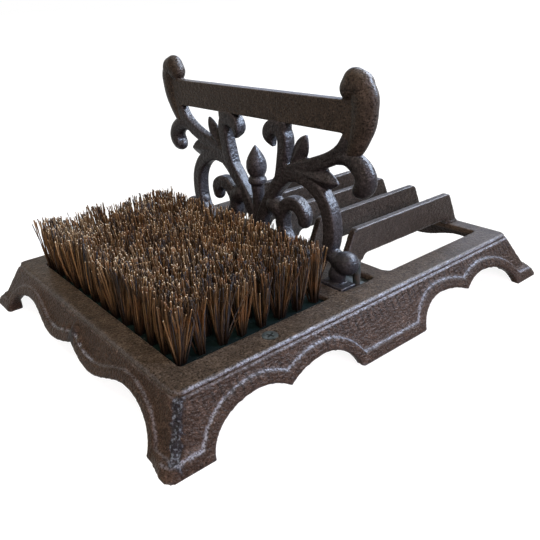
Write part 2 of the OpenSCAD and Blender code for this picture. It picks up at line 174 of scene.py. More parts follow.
def cast_iron(name, peel, coarse, sheen, pits, dark, light):
    """Dark sand-cast iron between two tones. Peel is the size of its dimples, coarse their height against
    that of its fine grain, and pits the share of the dark tone that is left in its pores."""
    material, start = new_finish(name)
    place = start.place()
    bend, rubbed_and_lit, ridge = [start.noted(word) for word in ("bend", "rubbed_and_lit", "ridge")]
    patch = place.grain(PATCH, 3)
    sand = place.grain(SAND, 2, 0.6)
    dimple = place.stretched(1, 1, 1.5).grain(peel, 2, 0.5)
    dust = place.grain(DUST, 4, 0.65)
    # Painted glints on the bare ridges and shell leaves
    ridge_glint = ridge.over(0.5, 1) * place.grain(GLINT, 3).over(0.5, 0.7)
    worn = bend.over(0.05, 0.22) * dust.over(0.3, 0.55)
    # Painted shade: where the surface bends inwards it is darkened towards the crease colour
    crease_shade = (0 - bend).over(0.04, 0.25)
    # Rubbed edges with a painted highlight, broken up by the grain
    lit_rub_share = rubbed_and_lit * (0.1 + sand.over(0.35, 0.62) * 0.9) * (0.5 + dust.over(0.35, 0.55) * 0.5)
    body = patch.over(0.35, 0.65).between(colour(*dark), colour(*light))
    body = dust.over(0.48, 0.7).between(body, scaled(light, 1.35))
    body = sand.over(0.49, 0.35).between(body, scaled(dark, pits))
    # Painted glints: the highest grains are lightened as if they caught the light
    body = sand.over(0.58, 0.74).between(body, scaled(light, 2.2))
    body = (crease_shade * 0.7).between(body, PAINTED_CREASE_SHADE)
    # Bare ridges and shell leaves, and painted shade on the ball feet
    body = (ridge * 0.85).between(body, BARE_RIDGE_AND_SHADE)
    body = ridge_glint.between(body, RIDGE_GLINT)
    body = worn.between(body, WORN_EDGE)
    body = lit_rub_share.between(body, RUBBED_AND_LIT_EDGE)
    body = (tool_marks(place, dust, patch) * 0.75).between(body, TOOL_MARK)
    height = sand * 0.22 + dimple * (coarse - rubbed_and_lit * coarse * 0.7)
    coat(start, Base_Color=body, Roughness=0.34 - worn * 0.03 - sand.over(0.5, 0.8) * 0.03, Metallic=0.0,
         Specular_IOR_Level=sheen, Normal=height.bump(1.3 * MM, 0.9))
    return material


def coir():
    """Brown fibre, with painted shade that darkens it towards its root, and with rusty stretches, grey
    strands, pale streaks and pale cut tips.
    """
    material, start = new_finish("coir")
    tone, rise = [start.noted(word) for word in ("fibre_tone", "fibre_rise")]
    place = start.place()
    rusty = place.grain(11 * MM, 2).over(0.5, 0.66) * 0.55
    streak = place.stretched(1, 1, 0.25).grain(1.6 * MM, 2).over(0.4, 0.75) * 0.4
    tip = rise.over(0.98, 1.0) * tone.over(0.4, 0.85)
    shaft = (tone ** 1.4).between(colour(0.0050, 0.0030, 0.0018), colour(0.146, 0.085, 0.037))
    shaft = rusty.between(shaft, colour(0.085, 0.036, 0.0115))
    shaft = tone.over(0.1, 0.06).between(shaft, colour(0.016, 0.016, 0.018))
    shaft = streak.between(shaft, colour(0.10, 0.063, 0.032))
    # Painted shade: the lower half of each fibre darkens towards its root
    shaft = rise.over(0.55, 0.0).between(shaft, colour(0.009, 0.0055, 0.0035))
    shaft = tip.between(shaft, colour(0.25, 0.20, 0.136))
    coat(start, Base_Color=shaft, Roughness=0.6, Specular_IOR_Level=0.06,
         Normal=place.grain(0.6 * MM, 2).bump(0.2 * MM, 0.4))
    return material


def green_block():
    material, start = new_finish("green_block")
    place = start.place()
    patch = place.grain(20 * MM, 3)
    dirt = place.grain(3 * MM, 3).over(0.62, 0.75)
    # The block's own dark green, darkened further as painted shade for the gaps between the tufts
    body = patch.over(0.35, 0.7).between(colour(0.0012, 0.0032, 0.0030), colour(0.0026, 0.0068, 0.0060))
    body = dirt.between(body, colour(0.02, 0.02, 0.017))
    coat(start, Base_Color=body, Roughness=0.55 + patch * 0.2, Specular_IOR_Level=0.03,
         Normal=place.grain(2 * MM, 3).bump(0.3 * MM, 0.5))
    return material


def dull_steel():
    material, start = new_finish("dull_steel")
    place = start.place()
    patch = place.grain(4 * MM, 4)
    rust = place.grain(9 * MM, 3).over(0.58, 0.7)
    body = patch.over(0.4, 0.65).between(colour(0.010, 0.013, 0.012), colour(0.028, 0.033, 0.031))
    body = rust.between(body, colour(0.024, 0.019, 0.015))
    coat(start, Base_Color=body, Roughness=0.4 + patch * 0.25, Metallic=0.1, Specular_IOR_Level=0.15,
         Normal=place.grain(1.2 * MM, 3).bump(0.1 * MM, 0.5))
    return material


IRON = cast_iron("cast_iron", peel=3.4 * MM, coarse=0.62, sheen=0.045, pits=0.28,
                 dark=(0.020, 0.0152, 0.0116), light=(0.0265, 0.0204, 0.0160))
# A darker, bluer copy of the iron for the scrolls: painted shade and a painted bluish sheen
SHADED_SCROLL_IRON = cast_iron("shaded_scroll_iron", peel=3.4 * MM, coarse=0.7, sheen=0.06, pits=0.28,
                        dark=(0.0132, 0.0113, 0.0112), light=(0.0186, 0.0162, 0.0164))
PLATE_IRON = cast_iron("plate_iron", peel=3.4 * MM, coarse=0.3, sheen=0.035, pits=0.28,
                       dark=(0.0265, 0.0200, 0.0147), light=(0.0375, 0.0286, 0.0216))
SKIRT_IRON = cast_iron("coarse_iron", peel=2.4 * MM, coarse=1.1, sheen=0.02, pits=0.5,
                       dark=(0.0245, 0.0168, 0.0128), light=(0.034, 0.0236, 0.0182))
COIR, GREEN, STEEL = coir(), green_block(), dull_steel()


# Making pieces

# A fused skin is pushed towards its neighbours and part of the way back, which softens it
SOFTEN = (0.55, -0.3)
# Unevenness from the sand mould, as [height in mm, size]
SWELLINGS = ((0.16, 9 * MM), (0.08, 3.1 * MM))


def set_in(name, mesh, slot, nodes, *materials):
    """Puts a finished mesh in the object's frame in place of its CAD nodes."""
    piece = bpy.data.objects.new(name, mesh)
    bpy.context.scene.collection.objects.link(piece)
    for material in materials:
        mesh.materials.append(material)
    mesh.polygons.foreach_set("use_smooth", [True] * len(mesh.polygons))
    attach(piece, "root")
    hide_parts(*nodes)


class Stock:
    """Closed shapes that are gathered before they are fused or made into a piece."""

    def __init__(self):
        self.points, self.faces = [], []

    def add(self, points, faces):
        first = len(self.points)
        self.points += [tuple(p) for p in points]
        self.faces += [[first + i for i in face] for face in faces]

    def tube(self, rings):
        """A closed tube through rings of points, with a flat face at each end."""
        n = len(rings[0])
        faces = [[i * n + j, (i + 1) * n + j, (i + 1) * n + (j + 1) % n, i * n + (j + 1) % n]
                 for i in range(len(rings) - 1) for j in range(n)]
        faces += [list(range(n)), [(len(rings) - 1) * n + j for j in range(n - 1, -1, -1)]]
        self.add([p for ring in rings for p in ring], faces)

    def ball(self, centre, sizes, n=20):
        rings = []
        for i in range(1, n):
            a = math.pi * i / n
            rings.append([(centre[0] + sizes[0] * math.sin(a) * math.cos(2 * math.pi * j / n),
                           centre[1] + sizes[1] * math.sin(a) * math.sin(2 * math.pi * j / n),
                           centre[2] - sizes[2] * math.cos(a)) for j in range(n)])
        self.tube(rings)

    def box(self, low, high):
        corners = [(x, y, z) for z in (low[2], high[2]) for y in (low[1], high[1])
                   for x in (low[0], high[0])]
        self.add(corners, [[0, 2, 3, 1], [4, 5, 7, 6], [0, 1, 5, 4],
                           [2, 6, 7, 3], [0, 4, 6, 2], [1, 3, 7, 5]])

    def cad(self, node):
        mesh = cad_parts[node].data
        self.add([v.co for v in mesh.vertices], [list(p.vertices) for p in mesh.polygons])


def unit(value):
    """A number held between 0 and 1."""
    return min(max(value, 0), 1)


def rows_of(items, word, wide, kind=float):
    """A value of each of a mesh's points, normals or edges, as rows of numbers."""
    values = np.empty(len(items) * wide, kind)
    items.foreach_get(word, values)
    return values.reshape(-1, wide)


def note(mesh, word, values):
    """Keeps a number for each point, which a finish can read."""
    mesh.attributes.new(word, "FLOAT", "POINT").data.foreach_set("value", np.asarray(values, np.float32))


def neighbour_mean(values, ends, degree):
    total = np.zeros_like(values)
    np.add.at(total, ends[:, 0], values[ends[:, 1]])
    np.add.at(total, ends[:, 1], values[ends[:, 0]])
    return total / (degree if values.ndim == 1 else degree[:, None])


def fuse(name, stock, voxel, rounds, swell=1.0):
    """One skin over the stock's shapes, softened, then roughened as a sand mould leaves it.
    Notes how far each point stands out from its neighbours as bend."""
    loose = bpy.data.meshes.new(name + "_loose")
    loose.from_pydata(stock.points, [], stock.faces)
    holder = bpy.data.objects.new(name + "_loose", loose)
    bpy.context.scene.collection.objects.link(holder)
    skin = holder.modifiers.new("skin", "REMESH")
    skin.mode = "VOXEL"
    skin.voxel_size = voxel
    mesh = bpy.data.meshes.new_from_object(holder.evaluated_get(bpy.context.evaluated_depsgraph_get()))
    bpy.data.objects.remove(holder)
    bpy.data.meshes.remove(loose)
    mesh.name = name
    places = rows_of(mesh.vertices, "co", 3)
    ends = rows_of(mesh.edges, "vertices", 2, int)
    degree = np.maximum(np.bincount(ends.ravel(), minlength=len(places)), 1)
    for _ in range(rounds):
        for push in SOFTEN:
            places += push * (neighbour_mean(places, ends, degree) - places)
    mesh.vertices.foreach_set("co", places.ravel())
    mesh.update()
    normals = rows_of(mesh.vertex_normals, "vector", 3)
    bend = ((places - neighbour_mean(places, ends, degree)) * normals).sum(1) / voxel
    for _ in range(2):
        bend = 0.5 * bend + 0.5 * neighbour_mean(bend, ends, degree)
    lift = np.array([sum(high * noise.noise(Vector(p) / size) for high, size in SWELLINGS)
                     for p in places]) * swell
    places += normals * (lift * MM)[:, None]
    mesh.vertices.foreach_set("co", places.ravel())
    note(mesh, "bend", bend)
    mesh.update()
    return mesh


# Base casting, in mm from its middle

# Outer foot of the skirts, how far they lean in up to the ledge, and the ledge that carries the flat top
FOOT_X, FOOT_Y = 182.5, 145.5
LEAN_X, LEAN_Y = 16.1, 17.6
LEDGE_UP, LEDGE_DEEP, LEDGE_WIDE, CORNER_CUT = 35, 3, 9, 5
LEDGE_X, LEDGE_Y = FOOT_X - LEAN_X, FOOT_Y - LEAN_Y
# Lean for each mm of height, rounded, and the way that a lip stands out from a skirt, as [out, up]
SLOPE_X, SLOPE_Y = 0.46, 0.5
SHORT_OUT, LONG_OUT = (0.91, 0.42), (0.89, 0.45)
# The four corners as signs of x and y. The one at the front left is the roughest
CORNERS = [(sx, sy) for sx in (-1, 1) for sy in (-1, 1)]
ROUGH_CORNER = (-1, -1)
# Ridge down a corner, from its foot to its head, and its knobs as [height, size]
RIDGE_FOOT, RIDGE_HEAD = np.array([178.2, 140.8, 5]) * MM, np.array([163.9, 125.4, 36]) * MM
RIDGE_LOOK, RIDGE_WIDE, RIDGE_FADE, RIDGE_STRAY = 6.5 * MM, 4.6 * MM, 1.8 * MM, 2.6 * MM
RIDGE_KNOBS, RIDGE_SINK = ((1.5, 4.4 * MM), (1.0, 2.5 * MM)), 0.3
# Middle leaf of the shell on a short side: half its width and height, its middle, and how far out it starts
LEAF_HALF, LEAF_TALL, LEAF_UP, LEAF_X = 5.5 * MM, 8 * MM, 23.5 * MM, 162 * MM
# Rubbed edges of the skirts, which also carry a painted highlight: how wide they are, fade and stray, and how
# much wider they are on the lips
LIT_RUB_WIDE, LIT_RUB_FADE, LIT_RUB_STRAY, LIT_RUB_LIP = 1.1 * MM, 0.8 * MM, 0.7 * MM, 0.3 * MM
# Stretch of the shell that is rubbed and lit more, and where the rub and painted highlight of the ledge grows
# from the left
LIT_RUB_SHELL, LIT_RUB_START, LIT_RUB_GROW = 34 * MM, -130 * MM, 120 * MM
# Lower edge of a long side: two arches on each half, as [middle, reach inwards, reach outwards]
INNER_ARCH, OUTER_ARCH = (60.5, 28, 45), (116, 33, 40)
ARCH_RISE, ARCH_SINK, TAB_UP, LONG_END = 24, 2, 4, 177
# Lower edge of a short side: a shell in the middle, a slope up from it, and an arch down to the foot
SHELL_LOW, SHELL_NOTCH, SHELL_HALF = 12.2, 6.8, 32
CROWN_UP, CROWN_Y, CROWN_REACH, CROWN_RISE, CROWN_SINK, SHORT_END = 22.7, 80, 38, 24, 1.3, 140
# Lip along the lower edge
LIP_OUT, LIP_ROOT, LIP_WIDE, LIP_TOP, LIP_MIDDLE = 2.6, -1.5, 6.0, 8.3, 7.3
# Thick lip round a foot as [height, inset], and how far it spreads
TOE_LEVELS = ((0, 0.5), (0.7, 0), (5.8, 0), (7.8, 2.0))
TOE_END, TOE_SPREAD, PLAIN_SPREAD = 116.6, 3.8, 0.4
# Flat top, whose left edge is flush with the ledge, and its rounded edge and corners
TOP_FACE = 38.0
PLATE_LEFT, PLATE_RIGHT, PLATE_Y, PLATE_CORNER = 166.2 * MM, 165 * MM, 126.5 * MM, 7 * MM
EDGE_WIDE, EDGE_DEEP = 2.2 * MM, 1.4 * MM
EDGE_LIT_RUB, EDGE_FADE, EDGE_STRAY = 1.3 * MM, 0.9 * MM, 1.1 * MM
# The edge is rubbed and carries a painted highlight above a level, and only faintly to the left of a line
EDGE_LOW, FAINT_LEFT = 35.7 * MM, -161 * MM
# Grain of the fused skins
SKIRT_VOXEL, PLATE_VOXEL, BAR_VOXEL = 1.04 * MM, 0.9 * MM, 0.9 * MM
BLADE_VOXEL, SCROLL_VOXEL = 0.65 * MM, 0.72 * MM
# Factor on the length of the cross-bar, so that it fuses with the plate
CROSS_LONGER = 1.01


def skirt_x(up):
    return FOOT_X - LEAN_X * up / LEDGE_UP


def skirt_y(up):
    return FOOT_Y - LEAN_Y * up / LEDGE_UP


def rough_corners(mesh):
    """The corner ridges of the base are left coarse, knobbly and bare, one more than the others."""
    places = rows_of(mesh.vertices, "co", 3)
    normals = rows_of(mesh.vertex_normals, "vector", 3)
    share, lift = np.zeros(len(places)), np.zeros(len(places))
    for corner in CORNERS:
        side = np.array([*corner, 1])
        foot, run = side * RIDGE_FOOT, side * RIDGE_HEAD - side * RIDGE_FOOT
        along = np.clip(((places - foot) @ run) / (run @ run), 0, 1)
        away = np.linalg.norm(places - foot - along[:, None] * run, axis=1)
        bare = 1.0 if corner == ROUGH_CORNER else 0.2
        for i in np.nonzero(away < RIDGE_LOOK)[0]:
            p = Vector(places[i])
            reach = away[i] + RIDGE_STRAY * noise.noise(p / (4 * MM))
            knob = sum(high * noise.noise(p / size) for high, size in RIDGE_KNOBS)
            share[i] = unit((RIDGE_WIDE - reach) / RIDGE_FADE) * bare
            lift[i] = share[i] * (knob - RIDGE_SINK)
    places += normals * (lift * MM)[:, None]
    mesh.vertices.foreach_set("co", places.ravel())
    # The middle leaf of the shell on each short side is bare too
    leaf = 1 - (places[:, 1] / LEAF_HALF) ** 2 - ((places[:, 2] - LEAF_UP) / LEAF_TALL) ** 2
    leaf[np.abs(places[:, 0]) < LEAF_X] = 0
    note(mesh, "ridge", np.maximum(share, 0.8 * np.sqrt(np.maximum(leaf, 0))))
    mesh.update()


def most_rubbed_and_lit(spot):
    """How pale an edge can be at a spot, rubbed and with a painted highlight: less on the short sides, and on
    the ledge less to the left.
    """
    x, y, z = abs(spot.x), abs(spot.y), spot.z
    on_ledge = z > (LEDGE_UP - LEDGE_DEEP) * MM
    if x - FOOT_X * MM + SLOPE_X * z > y - FOOT_Y * MM + SLOPE_Y * z:
        on_shell = y < LIT_RUB_SHELL
        return 0.1 if on_ledge else 0.75 if on_shell else 0.3
    return 0.3 + 0.7 * unit((spot.x - LIT_RUB_START) / LIT_RUB_GROW) if on_ledge else 1.0


def rub_and_light_edges(mesh, line):
    """The upper edge of the lips and the ledge are rubbed pale and carry a painted highlight. The line runs
    along the lips.
    """
    tree = KDTree(len(line))
    for i, p in enumerate(line):
        tree.insert(p, i)
    tree.balance()
    share = []
    for v in mesh.vertices:
        past = max(abs(v.co.x) - LEDGE_X * MM, abs(v.co.y) - LEDGE_Y * MM)
        ledge = math.hypot(past, v.co.z - LEDGE_UP * MM)
        away = min(tree.find(v.co)[2] - LIT_RUB_LIP, ledge) + LIT_RUB_STRAY * noise.noise(v.co / (2.5 * MM))
        share.append(unit((LIT_RUB_WIDE - away) / LIT_RUB_FADE) * most_rubbed_and_lit(v.co))
    note(mesh, "rubbed_and_lit", share)


def run_out(line, end, up):
    """The line, drawn on level to its end."""
    last = line[-1][0]
    return line + [(last + (end - last) * t / 10, up) for t in range(1, 11)]


def long_scallop(grow):
    """Half of the lower edge of a long side, as points [along, up], moved up the skirt by grow."""
    rise = ARCH_RISE + grow
    inner, inner_in, inner_out = INNER_ARCH[0], INNER_ARCH[1] + grow, INNER_ARCH[2] + grow
    outer, outer_in, outer_out = OUTER_ARCH[0], OUTER_ARCH[1] + grow, OUTER_ARCH[2] + grow
    cusp = (inner * outer_in + outer * inner_out) / (outer_in + inner_out)
    tab = math.asin((TAB_UP + ARCH_SINK + grow) / rise)
    foot = math.asin((ARCH_SINK + grow) / rise)
    meet = math.acos((cusp - inner) / inner_out)
    crown = math.pi / 2
    line = [(t * (inner - inner_in * math.cos(tab)) / 12, TAB_UP + grow) for t in range(12)]
    for middle, reach, first, last in ((inner, -inner_in, tab, crown), (inner, inner_out, crown, meet),
                                       (outer, -outer_in, meet, crown), (outer, outer_out, crown, foot)):
        line += [(middle + reach * math.cos(a), rise * math.sin(a) - ARCH_SINK)
                 for a in np.linspace(first, last, 24)]
    return run_out(line, LONG_END, grow)


def short_scallop(grow):
    """The same for a short side."""
    low, high, rise = SHELL_LOW + grow, CROWN_UP + grow, CROWN_RISE + grow
    line = [(y, low + SHELL_NOTCH * (1 - math.sin(math.pi / 2 * y / SHELL_HALF)))
            for y in np.linspace(0, SHELL_HALF, 20)]
    line += [(y, (low + high) / 2
              - (high - low) / 2 * math.cos(math.pi * (y - SHELL_HALF) / (CROWN_Y - SHELL_HALF)))
             for y in np.linspace(SHELL_HALF + 1.5, CROWN_Y, 24)]
    foot = math.asin((CROWN_SINK + grow) / rise)
    line += [(CROWN_Y + (CROWN_REACH + grow) * math.cos(a), rise * math.sin(a) - CROWN_SINK)
             for a in np.linspace(math.pi / 2 - 0.06, foot, 24)]
    return run_out(line, SHORT_END, grow)


def lip(stock, scallop, place):
    """A raised border along the scallops of one side. Place gives the point at [along, up, out].
    Gives points along the middle of its upper bevel."""
    form = [(0, LIP_ROOT), (0.3, LIP_OUT - 0.3), (LIP_WIDE, LIP_OUT), (LIP_WIDE + 0.4, LIP_OUT - 0.1),
            (LIP_TOP, 0), (LIP_TOP, LIP_ROOT)]
    lines = [scallop(grow) for grow, _ in form]
    middle = scallop(LIP_MIDDLE)
    edge = []
    for side in (1, -1):
        stock.tube([[place(side * line[i][0], line[i][1], out) for line, (_, out) in zip(lines, form)]
                    for i in range(len(lines[0]))])
        for (a, up), (b, high) in zip(middle, middle[1:]):
            edge += [place(side * (a + (b - a) * t / 4), up + (high - up) * t / 4, LIP_OUT / 2)
                     for t in range(4)]
    return edge


def toe(stock, sx, sy, spread):
    """The thick lip round one foot, which stands further out by spread. Gives points along its upper edge."""
    outer = [(183.2, TOE_END), (184.6 + spread, 139), (184.6 + 0.8 * spread, 143.5),
             (183.2 + 0.65 * spread, 146.6), (179.5 + 0.3 * spread, 147.9), (172, 147.6)]
    inner = [(168, 136), (172, TOE_END)]
    rings = []
    for z, inset in TOE_LEVELS:
        ring = [(x - (SLOPE_X * z + inset), y - (SLOPE_Y * z + inset if y > TOE_END else 0))
                for x, y in outer]
        rings.append([(sx * x * MM, sy * y * MM, z * MM) for x, y in ring + inner])
    stock.tube(rings)
    # Middle of the bevel between the two upper levels
    line = [(Vector(a) + Vector(b)) / 2 for a, b in zip(rings[2][1:6], rings[3][1:6])]
    return [a + (b - a) * t / 8 for a, b in zip(line, line[1:]) for t in range(8)]


def ledge(stock):
    """The frame at the top of the skirts, with cut corners."""
    loops = []
    low = LEDGE_UP - LEDGE_DEEP
    for deep, z in ((0, low), (0, LEDGE_UP), (LEDGE_WIDE, LEDGE_UP), (LEDGE_WIDE, low)):
        x, y = skirt_x(z) - deep, skirt_y(z) - deep
        cut_x, cut_y = x - CORNER_CUT, y - CORNER_CUT
        loops.append([(a * MM, b * MM, z * MM) for a, b in
                      ((cut_x, y), (-cut_x, y), (-x, cut_y), (-x, -cut_y),
                       (-cut_x, -y), (cut_x, -y), (x, -cut_y), (x, cut_y))])
    stock.add([p for loop in loops for p in loop],
              [[i * 8 + j, i * 8 + (j + 1) % 8, (i + 1) % 4 * 8 + (j + 1) % 8, (i + 1) % 4 * 8 + j]
               for i in range(4) for j in range(8)])


def skirts():
    """The four skirts with their lips, feet and ledge as one skin."""
    stock = Stock()
    nodes = ["skirt_front", "skirt_back", "skirt_left", "skirt_right"]
    for node in nodes:
        stock.cad(node)
    edge = []
    for side in (1, -1):
        edge += lip(stock, long_scallop, lambda a, up, out: (
            a * MM, side * (skirt_y(up) + out * LONG_OUT[0]) * MM, (up + out * LONG_OUT[1]) * MM))
        edge += lip(stock, short_scallop, lambda a, up, out: (
            side * (skirt_x(up) + out * SHORT_OUT[0]) * MM, a * MM, (up + out * SHORT_OUT[1]) * MM))
    for corner in CORNERS:
        edge += toe(stock, *corner, TOE_SPREAD if corner == ROUGH_CORNER else PLAIN_SPREAD)
    ledge(stock)
    skin = fuse("base_skirts", stock, SKIRT_VOXEL, 1, 0.3)
    rough_corners(skin)
    rub_and_light_edges(skin, edge)
    set_in("base_skirts", skin, "iron", nodes, SKIRT_IRON)


def round_corner(spot):
    """Draws the square corner of the flat top in to a round one."""
    edge_x = PLATE_LEFT if spot.x < 0 else PLATE_RIGHT
    over = Vector((abs(spot.x) - edge_x + PLATE_CORNER, abs(spot.y) - PLATE_Y + PLATE_CORNER))
    if min(over) > 0:
        over *= 1 - max(over) / over.length
        spot.x -= math.copysign(over.x, spot.x)
        spot.y -= math.copysign(over.y, spot.y)


def flat_top():
    """The plate and its cross-bar as one skin that stands on the ledge, with a rounded edge that is rubbed
    and carries a painted highlight.
    """
    top = Stock()
    top.cad("base_top")
    top.points = [(min(max(x, -PLATE_LEFT), PLATE_RIGHT), min(max(y, -PLATE_Y), PLATE_Y), z)
                  for x, y, z in top.points]
    first = len(top.points)
    top.cad("cross_bar")
    top.points[first:] = [(x, y * CROSS_LONGER, z) for x, y, z in top.points[first:]]
    plate = fuse("base_plate", top, PLATE_VOXEL, 3, 0.3)
    share = []
    for v in plate.vertices:
        inside = max(min(PLATE_RIGHT - abs(v.co.x), PLATE_Y - abs(v.co.y)), 0)
        if inside < EDGE_WIDE:
            v.co.z = min(v.co.z, TOP_FACE * MM - EDGE_DEEP * (1 - inside / EDGE_WIDE) ** 2)
        reach = inside + EDGE_STRAY * noise.noise(v.co / (3 * MM))
        # The painted highlight on the edge is faint to the left
        pale = 0.12 if v.co.x < FAINT_LEFT else 0.75
        share.append(unit((EDGE_LIT_RUB - reach) / EDGE_FADE) * pale if v.co.z > EDGE_LOW else 0)
        round_corner(v.co)
    note(plate, "rubbed_and_lit", share)
    plate.update()
    set_in("base_plate", plate, "iron", ["base_top", "cross_bar"], PLATE_IRON)


# Scraper bars, with knobbly fillets where they meet the top

BARS, KNOBS = 5, 7
LEFT_FILLET, RIGHT_FILLET = 19 * MM, 11 * MM


def bars():
    for i in range(1, BARS + 1):
        node = f"bar_{i}"
        stock = Stock()
        stock.cad(node)
        low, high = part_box(node)
        draw = random.Random(40 + i)
        for x0, x1 in ((low.x, low.x + LEFT_FILLET), (high.x - RIGHT_FILLET, high.x)):
            for side in (low.y, high.y):
                for step in range(KNOBS):
                    size = draw.uniform(0.9, 1.7) * MM
                    stock.ball((x0 + (x1 - x0) * (step + 0.5) / KNOBS, side, low.z + 0.2 * MM),
                               (size * 1.6, size, size), 10)
        set_in(f"scraper_bar_{i}", fuse(node, stock, BAR_VOXEL, 2), "iron", [node], IRON)


# Scrolled upright, in mm. Strands are points [across, up, half width, share of the scroll's half thickness]

UPRIGHT_X = -1.5
SCROLL_HALF = 4.9
BLADE_HALF, BLADE_END, BLADE_LOW, BLADE_HIGH = 4, 103, 110, 131.3
# Turns of the rounded end of a strand
CAP_TURNS = (0.5, 1.0, 1.4)
# Tenon in a slot, as its two ends on each axis, with up from the top face
TENON_X, TENON_Y, TENON_UP = (-12.4, 1.9), (80.6, 103.9), (-4.4, 1)
# The top leans towards the brush by this share of its height over a level
LEAN, LEAN_FROM = 0.027, 100 * MM


def section(square, n):
    """Points round a strand: round for 2, a flat bar with crisp edges for 6, a ridge for 1.2."""
    turns = [2 * math.pi * (j + 0.5) / n for j in range(n)]
    return [(math.copysign(abs(math.cos(a)) ** (2 / square), math.cos(a)),
             math.copysign(abs(math.sin(a)) ** (2 / square), math.sin(a))) for a in turns]


FLAT_BAR, ROUND_BAR, RIDGED = section(6, 40), section(2, 20), section(1.2, 24)


def eased(points, steps):
    """A smooth line through control points."""
    p = np.array(points, float)
    line = []
    for i in range(len(p) - 1):
        a, b, c, d = p[max(i - 1, 0)], p[i], p[i + 1], p[min(i + 2, len(p) - 1)]
        for j in range(steps):
            t = j / steps
            line.append(0.5 * (2 * b + (c - a) * t + (2 * a - 5 * b + 4 * c - d) * t * t
                               + (3 * b - a - 3 * c + d) * t ** 3))
    line.append(p[-1])
    return np.array(line)


def cap(spot, slope, way):
    """Spots of a strand's rounded end, going outwards, each with its slope and its share of the full size."""
    reach = np.append(slope, [0, 0]) * spot[2] * 0.5
    return [(spot + way * reach * math.sin(a), slope, math.cos(a)) for a in CAP_TURNS]


def strand(stock, points, form=FLAT_BAR, steps=6):
    """A strand of the given section on both halves of the upright."""
    line = eased(points, steps)
    slopes = np.gradient(line[:, :2], axis=0)
    slopes /= np.linalg.norm(slopes, axis=1)[:, None]
    spots = cap(line[0], slopes[0], -1)[::-1]
    spots += [(spot, slope, 1.0) for spot, slope in zip(line, slopes)]
    spots += cap(line[-1], slopes[-1], 1)
    for side in (1, -1):
        rings = []
        for (u, w, half, share), (du, dw), shrink in spots:
            rings.append([((UPRIGHT_X + SCROLL_HALF * share * shrink * s) * MM,
                           side * (u - dw * half * shrink * c) * MM,
                           (TOP_FACE + w + du * half * shrink * c) * MM) for c, s in form])
        stock.tube(rings)


def bead(stock, u, w, size, thick):
    for side in (1, -1):
        stock.ball((UPRIGHT_X * MM, side * u * MM, (TOP_FACE + w) * MM), (thick * MM, size * MM, size * MM))


def drop(stock, first, second, steps=7):
    """A swelling between two beads [across, up, size, thickness]."""
    for i in range(steps + 1):
        bead(stock, *[a + (b - a) * i / steps for a, b in zip(first, second)])


def blade_and_posts():
    stock = Stock()
    # Inner edge of the post
    strand(stock, [[97, 100, 4.8, 0.75], [101.5, 107, 5.2, 0.82], [103.5, 119, 5, 0.82], [104, 131, 5, 0.82]])
    # Crescent of the post and its knob
    strand(stock, [[109.5, 142, 8.4, 1.28], [113.4, 134, 10.2, 1.35], [114, 127, 9.8, 1.3],
                   [113, 118, 9.4, 1.22], [110.4, 110.5, 8.4, 1.12], [107, 103, 7.2, 1],
                   [103.5, 97.5, 5.8, 0.9], [100, 93.5, 4, 0.75]], ROUND_BAR)
    drop(stock, (102.3, 138, 8.2, 6.7), (106, 141.8, 9.3, 7.1))
    drop(stock, (106, 141.8, 9.3, 7.1), (111, 140.2, 9.2, 7.1))
    # Blade
    stock.box(((UPRIGHT_X - BLADE_HALF) * MM, -BLADE_END * MM, (TOP_FACE + BLADE_LOW) * MM),
              ((UPRIGHT_X + BLADE_HALF) * MM, BLADE_END * MM, (TOP_FACE + BLADE_HIGH) * MM))
    return stock


